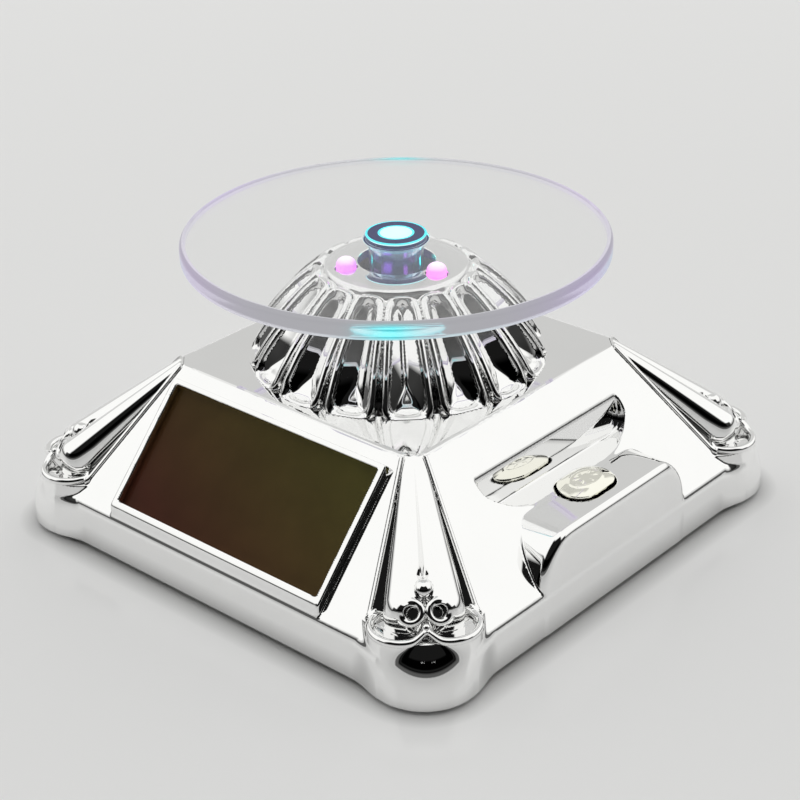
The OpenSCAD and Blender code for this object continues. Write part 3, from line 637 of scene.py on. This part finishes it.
def brushed(name, color, rough, stretch=(1, 1, 30)):
    """Drawn or turned metal, with its grain stretched along one way."""
    mat = node_material(name, color, rough, 1.0)
    dark = [c * 0.85 for c in color]
    return grain(mat, 400, 0.08, (rough - 0.1, rough + 0.12), stretch, (dark, color))


MATERIALS = {
    "chrome_plating": chrome("chrome_plating", (0.9, 0.9, 0.895)),
    "circuit_board": plastic("circuit_board", (0.012, 0.03, 0.14), 0.3),
    "spindle_steel": brushed("spindle_steel", (0.75, 0.77, 0.78), 0.2),
    "screw_steel": brushed("screw_steel", (0.7, 0.7, 0.71), 0.3, (1, 1, 1)),
    "spring_steel": brushed("spring_steel", (0.7, 0.7, 0.72), 0.25, (1, 1, 1)),
    "motor_steel": brushed("motor_steel", (0.62, 0.62, 0.64), 0.32),
    "gear_nylon": plastic("gear_nylon", (0.85, 0.83, 0.74), 0.42),
    "black_plastic": plastic("black_plastic", (0.03, 0.03, 0.033), 0.5),
    "silver_plastic": plastic("silver_plastic", (0.5, 0.5, 0.51), 0.42),
    "bush_brass": brushed("bush_brass", (0.78, 0.58, 0.26), 0.25),
    "contact_brass": brushed("contact_brass", (0.8, 0.7, 0.45), 0.3, (1, 1, 1)),
    "foot_rubber": plastic("foot_rubber", (0.02, 0.02, 0.021), 0.75),
    "battery_jacket": plastic("battery_jacket", (0.05, 0.16, 0.26), 0.25),
    "red_wire": plastic("red_wire", (0.5, 0.03, 0.025), 0.4),
    "black_wire": plastic("black_wire", (0.02, 0.02, 0.022), 0.4),
    "blue_wire": plastic("blue_wire", (0.04, 0.08, 0.4), 0.4),
}


def solar_glass():
    """Amorphous solar glass: red-brown at its low end, olive at its high end, under a clear gloss."""
    lean = 2.6                   # how much more the colour changes up the cell than along it
    mat = node_material("solar_glass", (0.05, 0.03, 0.015), 0.12, Specular_IOR_Level=0.04)
    link = mat.node_tree.links.new
    shader = mat.node_tree.nodes["Principled BSDF"]
    place = add(mat, "ShaderNodeTexCoord")
    axes = add(mat, "ShaderNodeSeparateXYZ")
    link(place.outputs["Object"], axes.inputs["Vector"])
    lo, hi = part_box("solar_cell")
    rise = add(mat, "ShaderNodeMath")
    rise.operation = "MULTIPLY_ADD"
    rise.inputs[1].default_value = lean
    link(axes.outputs["Z"], rise.inputs[0])
    link(axes.outputs["X"], rise.inputs[2])
    along = add(mat, "ShaderNodeMapRange", From_Min=lo.x + lean * lo.z, From_Max=hi.x + lean * hi.z)
    link(rise.outputs["Value"], along.inputs["Value"])
    base = blend_colors(mat, along.outputs["Result"], (0.088, 0.03, 0.018), (0.098, 0.09, 0.022),
                        0.15, 0.95)
    mottle = blend_colors(mat, noise(mat, 120), (0.9, 0.9, 0.9), (1.06, 1.06, 1.06))
    mix = add(mat, "ShaderNodeMixRGB", Fac=1.0)
    mix.blend_type = "MULTIPLY"
    link(base, mix.inputs["Color1"])
    link(mottle, mix.inputs["Color2"])
    link(mix.outputs["Color"], shader.inputs["Base Color"])
    link(span(mat, noise(mat, 800), 0.08, 0.16), shader.inputs["Roughness"])
    return mat


def clear_plastic(name, tint, rough, glow_share, glow=(0.8, 0.8, 0.81)):
    """Clear moulded acrylic, with a painted glow for the LEDs' light inside it, mixed in at the given
    share.
    """
    mat = node_material(name, tint, rough, Transmission_Weight=1.0, IOR=1.49)
    link = mat.node_tree.links.new
    shader = mat.node_tree.nodes["Principled BSDF"]
    link(span(mat, noise(mat, 250), rough * 0.5, rough * 1.5), shader.inputs["Roughness"])
    # painted glow: this emission stands in for the LEDs' light in the plastic
    lit = add(mat, "ShaderNodeEmission", Color=(*glow, 1))
    lit.name = "Glow"
    mix = add(mat, "ShaderNodeMixShader", Fac=glow_share)
    out = mat.node_tree.nodes["Material Output"]
    link(shader.outputs["BSDF"], mix.inputs[1])
    link(lit.outputs["Emission"], mix.inputs[2])
    link(mix.outputs["Shader"], out.inputs["Surface"])
    return mat


def rim_painted_glow():
    """The platter's edge: a milky painted glow all round, with three patches of the LEDs' light painted
    where it comes out across the disc.
    """
    mat = clear_plastic("rim_painted_glow", (0.98, 0.98, 1.0), 0.1, 0.6)
    link = mat.node_tree.links.new
    place = add(mat, "ShaderNodeNewGeometry")
    base = add(mat, "ShaderNodeRGB")
    base.outputs["Color"].default_value = (0.64, 0.64, 0.68, 1)
    color = base.outputs["Color"]
    # painted light: each patch is one LED's glow, painted on the rim across the disc from that LED
    for heading, glow_patch, tight in (
            (-50, (0.1, 1.0, 1.05), 170), (65, (0.72, 0.64, 0.84), 14), (190, (0.68, 0.6, 0.84), 14)):
        a = math.radians(heading)
        toward = add(mat, "ShaderNodeVectorMath")
        toward.operation = "DOT_PRODUCT"
        reach = PLATTER_R * MM
        toward.inputs[1].default_value = (math.cos(a) / reach, math.sin(a) / reach, 0)
        link(place.outputs["Position"], toward.inputs[0])
        power = add(mat, "ShaderNodeMath")
        power.operation = "POWER"
        power.use_clamp = True
        power.inputs[1].default_value = tight
        link(toward.outputs["Value"], power.inputs[0])
        mix = add(mat, "ShaderNodeMixRGB")
        link(power.outputs["Value"], mix.inputs["Fac"])
        link(color, mix.inputs["Color1"])
        mix.inputs["Color2"].default_value = (*glow_patch, 1)
        color = mix.outputs["Color"]
    link(color, mat.node_tree.nodes["Glow"].inputs["Color"])
    return mat


MATERIALS["solar_glass"] = solar_glass()
# the clear disc: a faint grey painted glow for the LEDs' light in it
MATERIALS["clear_acrylic"] = clear_plastic("clear_acrylic", (0.995, 0.997, 1.0), 0.004, 0.006)
RIM_PAINTED_GLOW = rim_painted_glow()
# the boss: clear acrylic with a painted blue glow for the LEDs' light in it
HUB_GLOW_ACRYLIC = clear_plastic("hub_glow_acrylic", (0.7, 0.86, 1.0), 0.005, 0.02, (0.0, 0.4, 1.0))
# dark navy with a painted blue glow of the LEDs on it
HUB_NAVY_GLOW = node_material("hub_navy_glow", (0.006, 0.01, 0.07), 0.12, Specular_IOR_Level=0.2,
                         Emission_Color=(0.01, 0.03, 0.3, 1), Emission_Strength=0.25)
# painted light: the hub's cyan and white glow stand in for the LEDs' light gathered in the bore and at
# the boss's rim
HUB_CYAN_GLOW = node_material("hub_cyan_glow", (0.1, 0.6, 0.65), 0.15, Emission_Color=(0.05, 0.9, 1.0, 1),
                         Emission_Strength=0.9)
HUB_WHITE_GLOW = node_material("hub_white_glow", (0.7, 0.95, 1.0), 0.15, Emission_Color=(0.55, 1.0, 1.0, 1),
                          Emission_Strength=0.9)


def finish_nodes():
    """Gives every CAD node that stays the material of its slot."""
    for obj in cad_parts.values():
        for slot in obj.material_slots:
            base = slot.material.name.split(".")[0]
            if base in MATERIALS:
                slot.material = MATERIALS[base]


# ---- pieces ----

def put(obj, mat, slot, body, *nodes):
    """Finishes a piece: its material, the body it rides on and the nodes it replaces. The slot argument
    is not used.
    """
    obj.data.materials.clear()
    obj.data.materials.append(mat)
    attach(obj, body)
    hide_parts(*nodes)
    return obj


def more_materials(obj, *mats):
    """Adds materials to a piece and gives their slots' numbers."""
    for mat in mats:
        obj.data.materials.append(mat)
    return range(1, 1 + len(mats))


def radius_and_height(face):
    """Where the middle of a face is, in mm from the axis and above the ground."""
    return math.hypot(face.center.x, face.center.y) / MM, face.center.z / MM


def make_housing():
    """The chrome base; its corner ornaments are pieces of their own."""
    x = both_sides([(0, 0.8), (24, 0.4), (33, 0.3), (54.3, 0)])
    y = both_sides([(0, 0.5), (24, 0.4), (33, 0.3), (54.3, 0)])
    z = graded([(-0.2, 0.7), (8, 0.3), (24, 0.35), (33.6, 0)])
    obj = field_object("housing_shell", housing_field, (x, y, z), 190_000)
    put(obj, MATERIALS["chrome_plating"], "chrome_plating", "base", "housing")


def make_ornaments():
    """The four corner ornaments: one mesh, turned to each corner."""
    t = graded([(40.6, 0.22), (56, 0.16), (70.2, 0)])
    w = both_sides([(0, 0.16), (10.8, 0)])
    z = graded([(11, 0.16), (21, 0.22), (33, 0)])
    first = field_object("ornament", ornament_field, (t, w, z), 90_000)
    for i in range(4):
        obj = new_object("corner_ornament_%d" % i, first.data.copy())
        obj.data.transform(Matrix.Rotation(math.radians(45 + 90 * i), 4, "Z"))
        put(obj, MATERIALS["chrome_plating"], "chrome_plating", "base", "housing")
    bpy.data.objects.remove(first)


def make_dome():
    """The fluted dome."""
    x = both_sides([(0, 0.3), (30, 0)])
    z = graded([(29.8, 0.6), (32, 0.3), (50, 0)])
    obj = field_object("fluted_dome", dome_field, (x, x, z), 190_000)
    put(obj, MATERIALS["chrome_plating"], "chrome_plating", "base", "dome")
    # the wall and the inside of the hub's hole are dark navy with a painted blue glow of the LEDs
    navy, = more_materials(obj, HUB_NAVY_GLOW)
    for face in obj.data.polygons:
        out, z = radius_and_height(face)
        if out < HUB_HOLE_R + 0.3 and z < CAP_Z - 0.25:
            face.material_index = navy


def make_platter():
    """The clear platter, with its round rim and its flared boss."""
    lo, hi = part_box("platter")
    top, r = hi.z / MM, hi.x / MM
    low = top - PLATTER_THICK
    foot = lo.z / MM
    profile = rounded([
        (AXIS_R, top, 0), (r, top, 1.1), (r, low, 1.1), (BOSS_R + 0.7, low, 0.6), (BOSS_R, low - 1, 0.8),
        (BOSS_R, foot, 0.3), (BORE_R, foot, 0.2), (BORE_R, BORE_TOP, 0), (AXIS_R, BORE_TOP, 0)], 6)
    obj = turned("clear_platter", profile, 160)
    sharpen(obj, 60)
    put(obj, MATERIALS["clear_acrylic"], "clear_acrylic", "platter", "platter")
    rim, hub, bore = more_materials(obj, RIM_PAINTED_GLOW, HUB_GLOW_ACRYLIC, HUB_NAVY_GLOW)
    # the rim takes a painted glow with the LEDs' patches, the boss a painted blue glow and the bore navy
    # with a painted blue glow
    for face in obj.data.polygons:
        out, z = radius_and_height(face)
        if out > r - 1.2:
            face.material_index = rim
        elif out < 3.2 and z < CAP_Z - 0.5:
            face.material_index = bore
        elif out < 6.2 and z < low + 0.1:
            face.material_index = hub


def make_hub_insert():
    """The hub that shows in the middle of the platter: a white painted glow of the LEDs' light at the
    centre, a navy ring with a faint painted glow, and a cyan and white painted glow at the edge.
    """
    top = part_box("platter")[1].z / MM - 0.7
    outline = [(AXIS_R, top - 0.05), (2.5, top), (3.0, top), (3.4, top + 0.05), (5.3, top),
               (5.7, top - 0.15), (5.7, top - 0.5), (5.45, top - 1.4), (5.6, top - 2.3),
               (3.0, top - 2.4), (3.0, top - 1.1), (AXIS_R, top - 1.1)]
    obj = turned("hub_insert", outline, 96)
    sharpen(obj, 30)
    put(obj, HUB_NAVY_GLOW, "clear_acrylic", "platter", "platter")
    cyan, white = more_materials(obj, HUB_CYAN_GLOW, HUB_WHITE_GLOW)
    for face in obj.data.polygons:
        out, z = radius_and_height(face)
        if out < 2.9 and z > top - 0.3:
            face.material_index = white
        elif 2.9 < out < 3.3 and z > top - 0.3 or out > 5.3 and z > top - 0.45:
            face.material_index = cyan
        elif out > 5.3 and z > top - 1.5:
            face.material_index = white


def led_material(name, core, edge, power):
    """A lit LED: pale at its tip and in its own colour towards its foot."""
    mat = node_material(name, (0.9, 0.85, 0.95), 0.12, Coat_Weight=0.5)
    link = mat.node_tree.links.new
    shader = mat.node_tree.nodes["Principled BSDF"]
    place = add(mat, "ShaderNodeTexCoord")
    axes = add(mat, "ShaderNodeSeparateXYZ")
    link(place.outputs["Object"], axes.inputs["Vector"])
    height = add(mat, "ShaderNodeMapRange", From_Min=LED_GLOW[0] * MM, From_Max=LED_GLOW[1] * MM)
    link(axes.outputs["Z"], height.inputs["Value"])
    color = blend_colors(mat, height.outputs["Result"], edge, core, 0.35, 1.0)
    link(color, shader.inputs["Emission Color"])
    shader.inputs["Emission Strength"].default_value = power
    return mat


def make_leds():
    """Three round LEDs, each a lens with a flange: name, colour at the tip and at the foot, power."""
    lights = [
        ("pink", (1.0, 0.72, 1.0), (0.85, 0.1, 0.75), 1.1),
        ("cyan", (0.4, 1.0, 0.85), (0.0, 0.7, 0.6), 3.0),
        ("violet", (0.98, 0.72, 1.0), (0.7, 0.1, 0.9), 1.1)
    ]
    lo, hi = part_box("leds")
    foot, tip, r = lo.z / MM, hi.z / MM, LED_D / 2
    lens_r, lens_h = r - 0.12, r * 0.75
    for angle, (word, core, edge, power) in zip(THIRDS, lights):
        at = (LED_RING * math.cos(angle), LED_RING * math.sin(angle))
        outline = [(AXIS_R, foot), (r, foot), (r, foot + 0.8),
                   (lens_r, foot + 1.0), (lens_r, tip - lens_h)]
        for k in range(1, 9):
            a = math.radians(90 * k / 8)
            outline.append((max(AXIS_R, lens_r * math.cos(a)), tip - lens_h + lens_h * math.sin(a)))
        obj = turned("led_" + word, outline, 40, at)
        sharpen(obj, 40)
        mat = led_material("led_" + word, core, edge, power)
        put(obj, mat, "led_lens", "base", "leds")


def make_button():
    """The oval push button: a crowned top with a plain embossed ring and rays."""
    lo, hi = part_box("button_cap")
    foot, top = lo.z / MM, hi.z / MM
    around, rows = 120, 34

    def oval(f, a):
        """A point of the outline, drawn in towards the middle as f goes from 1 to 0."""
        c, s = math.cos(a), math.sin(a)
        y = f * BUTTON_HALF_W * s + max(-1, min(1, s * 3)) * f * BUTTON_STRAIGHT
        return BUTTON_X + f * BUTTON_HALF_W * c, y

    def crown(f, a):
        """The height of the top there."""
        h = top - 0.95 * f ** 2.6
        x, y = oval(f, a)
        dx, dy = (x - BUTTON_X) / 2.3, y / 3.6
        q = math.hypot(dx, dy)
        ring = math.exp(-((q - 1.0) / 0.1) ** 2)
        ray = max(0.0, math.cos(6 * math.atan2(dy, dx))) ** 4 * math.exp(-((q - 0.6) / 0.16) ** 2)
        return h + 0.16 * (ring + ray) - 0.16

    angles = [2 * math.pi * k / around for k in range(around)]
    rings = [[(*oval(1.0, a), z) for a in angles] for z in (foot, foot + 0.9, top - 1.3)]
    for k in range(rows):
        f = math.cos(math.pi / 2 * k / rows)
        rings.append([(*oval(f, a), crown(f, a)) for a in angles])
    obj = ring_mesh("push_button", rings)
    sharpen(obj, 50)
    mat = chrome("button_chrome", (0.9, 0.89, 0.8))
    put(obj, mat, "chrome_plating", "button", "button_cap")


def shorten_spring():
    """Gives the switch's spring a mesh of its own."""
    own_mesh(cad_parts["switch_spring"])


# ---- stage, light and camera ----

FLOOR_HALF = 6                   # m
FLOOR_GLOW = 0.29
ROOM_LEVEL = 0.66
LAMP_LEVEL = 0.42                # what the ceiling and the soft boxes add to the room's level
# dark bands behind the camera, in degrees: half the width, bottom, top, soft edge, share taken off
DARK_BANDS = [(52, 13, 63, 4, 0.985), (76, 8, 25, 3, 0.96), (125, 1, 9, 2, 0.85)]


def make_floor():
    """A pale floor that glows softly, except under the stand, and can't be seen from below."""
    bm = bmesh.new()
    bmesh.ops.create_grid(bm, x_segments=1, y_segments=1, size=FLOOR_HALF)
    mesh = bpy.data.meshes.new("floor")
    bm.to_mesh(mesh)
    bm.free()
    floor = new_object("floor", mesh)
    mat = node_material("floor", (0.56, 0.56, 0.557), 0.16, Specular_IOR_Level=0.35,
                        Emission_Color=(1, 1, 0.995, 1))
    mesh.materials.append(mat)
    link = mat.node_tree.links.new
    shader = mat.node_tree.nodes["Principled BSDF"]
    # its own glow stops under the stand, so that the base keeps its dark contact line
    place = add(mat, "ShaderNodeNewGeometry")
    beyond = place.outputs["Position"]
    for operation, value in (("ABSOLUTE", None), ("SUBTRACT", (FOOT_AT * MM, FOOT_AT * MM, 1)),
                             ("MAXIMUM", (0, 0, 0)), ("LENGTH", None)):
        step = add(mat, "ShaderNodeVectorMath")
        step.operation = operation
        link(beyond, step.inputs[0])
        if value:
            step.inputs[1].default_value = value
        beyond = step.outputs["Value" if operation == "LENGTH" else "Vector"]
    near, far = (HALF - FOOT_AT) * MM, (HALF - FOOT_AT + 5) * MM
    fade = add(mat, "ShaderNodeMapRange", From_Min=near, From_Max=far, To_Min=0.0, To_Max=FLOOR_GLOW)
    link(beyond, fade.inputs["Value"])
    link(fade.outputs["Result"], shader.inputs["Emission Strength"])
    clear = add(mat, "ShaderNodeBsdfTransparent")
    mix = add(mat, "ShaderNodeMixShader")
    link(place.outputs["Backfacing"], mix.inputs["Fac"])
    link(shader.outputs["BSDF"], mix.inputs[1])
    link(clear.outputs["BSDF"], mix.inputs[2])
    link(mix.outputs["Shader"], mat.node_tree.nodes["Material Output"].inputs["Surface"])


def make_world():
    """A pale room with two soft boxes, a bright ceiling and dark bands behind the camera."""
    world = bpy.data.worlds.new("studio")
    bpy.context.scene.world = world
    world.use_nodes = True
    nodes, link = world.node_tree.nodes, world.node_tree.links.new

    def math_node(kind, a, b=0.0, clamp=False):
        """A sum on two numbers or sockets."""
        node = nodes.new("ShaderNodeMath")
        node.operation = kind
        node.use_clamp = clamp
        for socket, value in zip(node.inputs, (a, b)):
            if isinstance(value, (int, float)):
                socket.default_value = value
            else:
                link(value, socket)
        return node.outputs[0]

    def window(value, low, high, soft):
        """1 between low and high, falling to 0 over soft on both sides."""
        rise = math_node("DIVIDE", math_node("SUBTRACT", value, low - soft), soft, True)
        fall = math_node("DIVIDE", math_node("SUBTRACT", high + soft, value), soft, True)
        return math_node("MULTIPLY", rise, fall)

    place = nodes.new("ShaderNodeTexCoord")
    axes = nodes.new("ShaderNodeSeparateXYZ")
    link(place.outputs["Generated"], axes.inputs["Vector"])
    up = math_node("MULTIPLY", math_node("ARCSINE", axes.outputs["Z"]), 180 / math.pi)
    heading = math.radians(VIEW_AZIMUTH)
    # degrees to the right of the camera's own direction, seen from the object
    ahead = math_node("ADD", math_node("MULTIPLY", axes.outputs["X"], math.sin(heading)),
                      math_node("MULTIPLY", axes.outputs["Y"], -math.cos(heading)))
    right = math_node("ADD", math_node("MULTIPLY", axes.outputs["X"], math.cos(heading)),
                      math_node("MULTIPLY", axes.outputs["Y"], math.sin(heading)))
    turn = math_node("MULTIPLY", math_node("ARCTAN2", right, ahead), 180 / math.pi)

    level = math_node("ADD", ROOM_LEVEL, math_node("MULTIPLY", window(up, 68, 95, 6), LAMP_LEVEL))
    for low, high in ((-150, -62), (62, 150)):
        box = math_node("MULTIPLY", window(turn, low, high, 6), window(up, 20, 62, 6))
        level = math_node("ADD", level, math_node("MULTIPLY", box, LAMP_LEVEL))
    for half, bottom, top, soft, share in DARK_BANDS:
        band = math_node("MULTIPLY", window(turn, -half, half, 5), window(up, bottom, top, soft))
        kept = math_node("SUBTRACT", 1.0, math_node("MULTIPLY", band, share))
        level = math_node("MULTIPLY", level, kept)
    back = nodes["Background"]
    tint = nodes.new("ShaderNodeCombineColor")
    link(level, tint.inputs["Red"])
    link(level, tint.inputs["Green"])
    link(math_node("MULTIPLY", level, 0.985), tint.inputs["Blue"])
    link(tint.outputs["Color"], back.inputs["Color"])


def make_camera():
    cam = bpy.data.cameras.new("camera")
    cam.sensor_width = SENSOR
    cam.lens = LENS
    cam.shift_x, cam.shift_y = SHIFT_X, SHIFT_Y
    cam.clip_start = 0.01
    obj = new_object("camera", cam)
    a, e = math.radians(VIEW_AZIMUTH), math.radians(VIEW_ELEVATION)
    back = Vector((math.sin(a) * math.cos(e), -math.cos(a) * math.cos(e), math.sin(e)))
    obj.location = LOOK_AT + back * VIEW_DISTANCE
    turn = (-back).to_track_quat("-Z", "Y").to_matrix().to_4x4()
    roll = math.radians(VIEW_ROLL)
    obj.rotation_mode = "QUATERNION"
    obj.rotation_quaternion = (turn @ Matrix.Rotation(roll, 4, "Z")).to_quaternion()
    bpy.context.scene.camera = obj


make_camera()
make_floor()
make_world()
finish_nodes()
make_housing()
make_ornaments()
make_dome()
make_platter()
make_hub_insert()
make_leds()
make_button()
shorten_spring()

scene = bpy.context.scene
scene.view_settings.view_transform = "Standard"
scene.view_settings.look = "None"
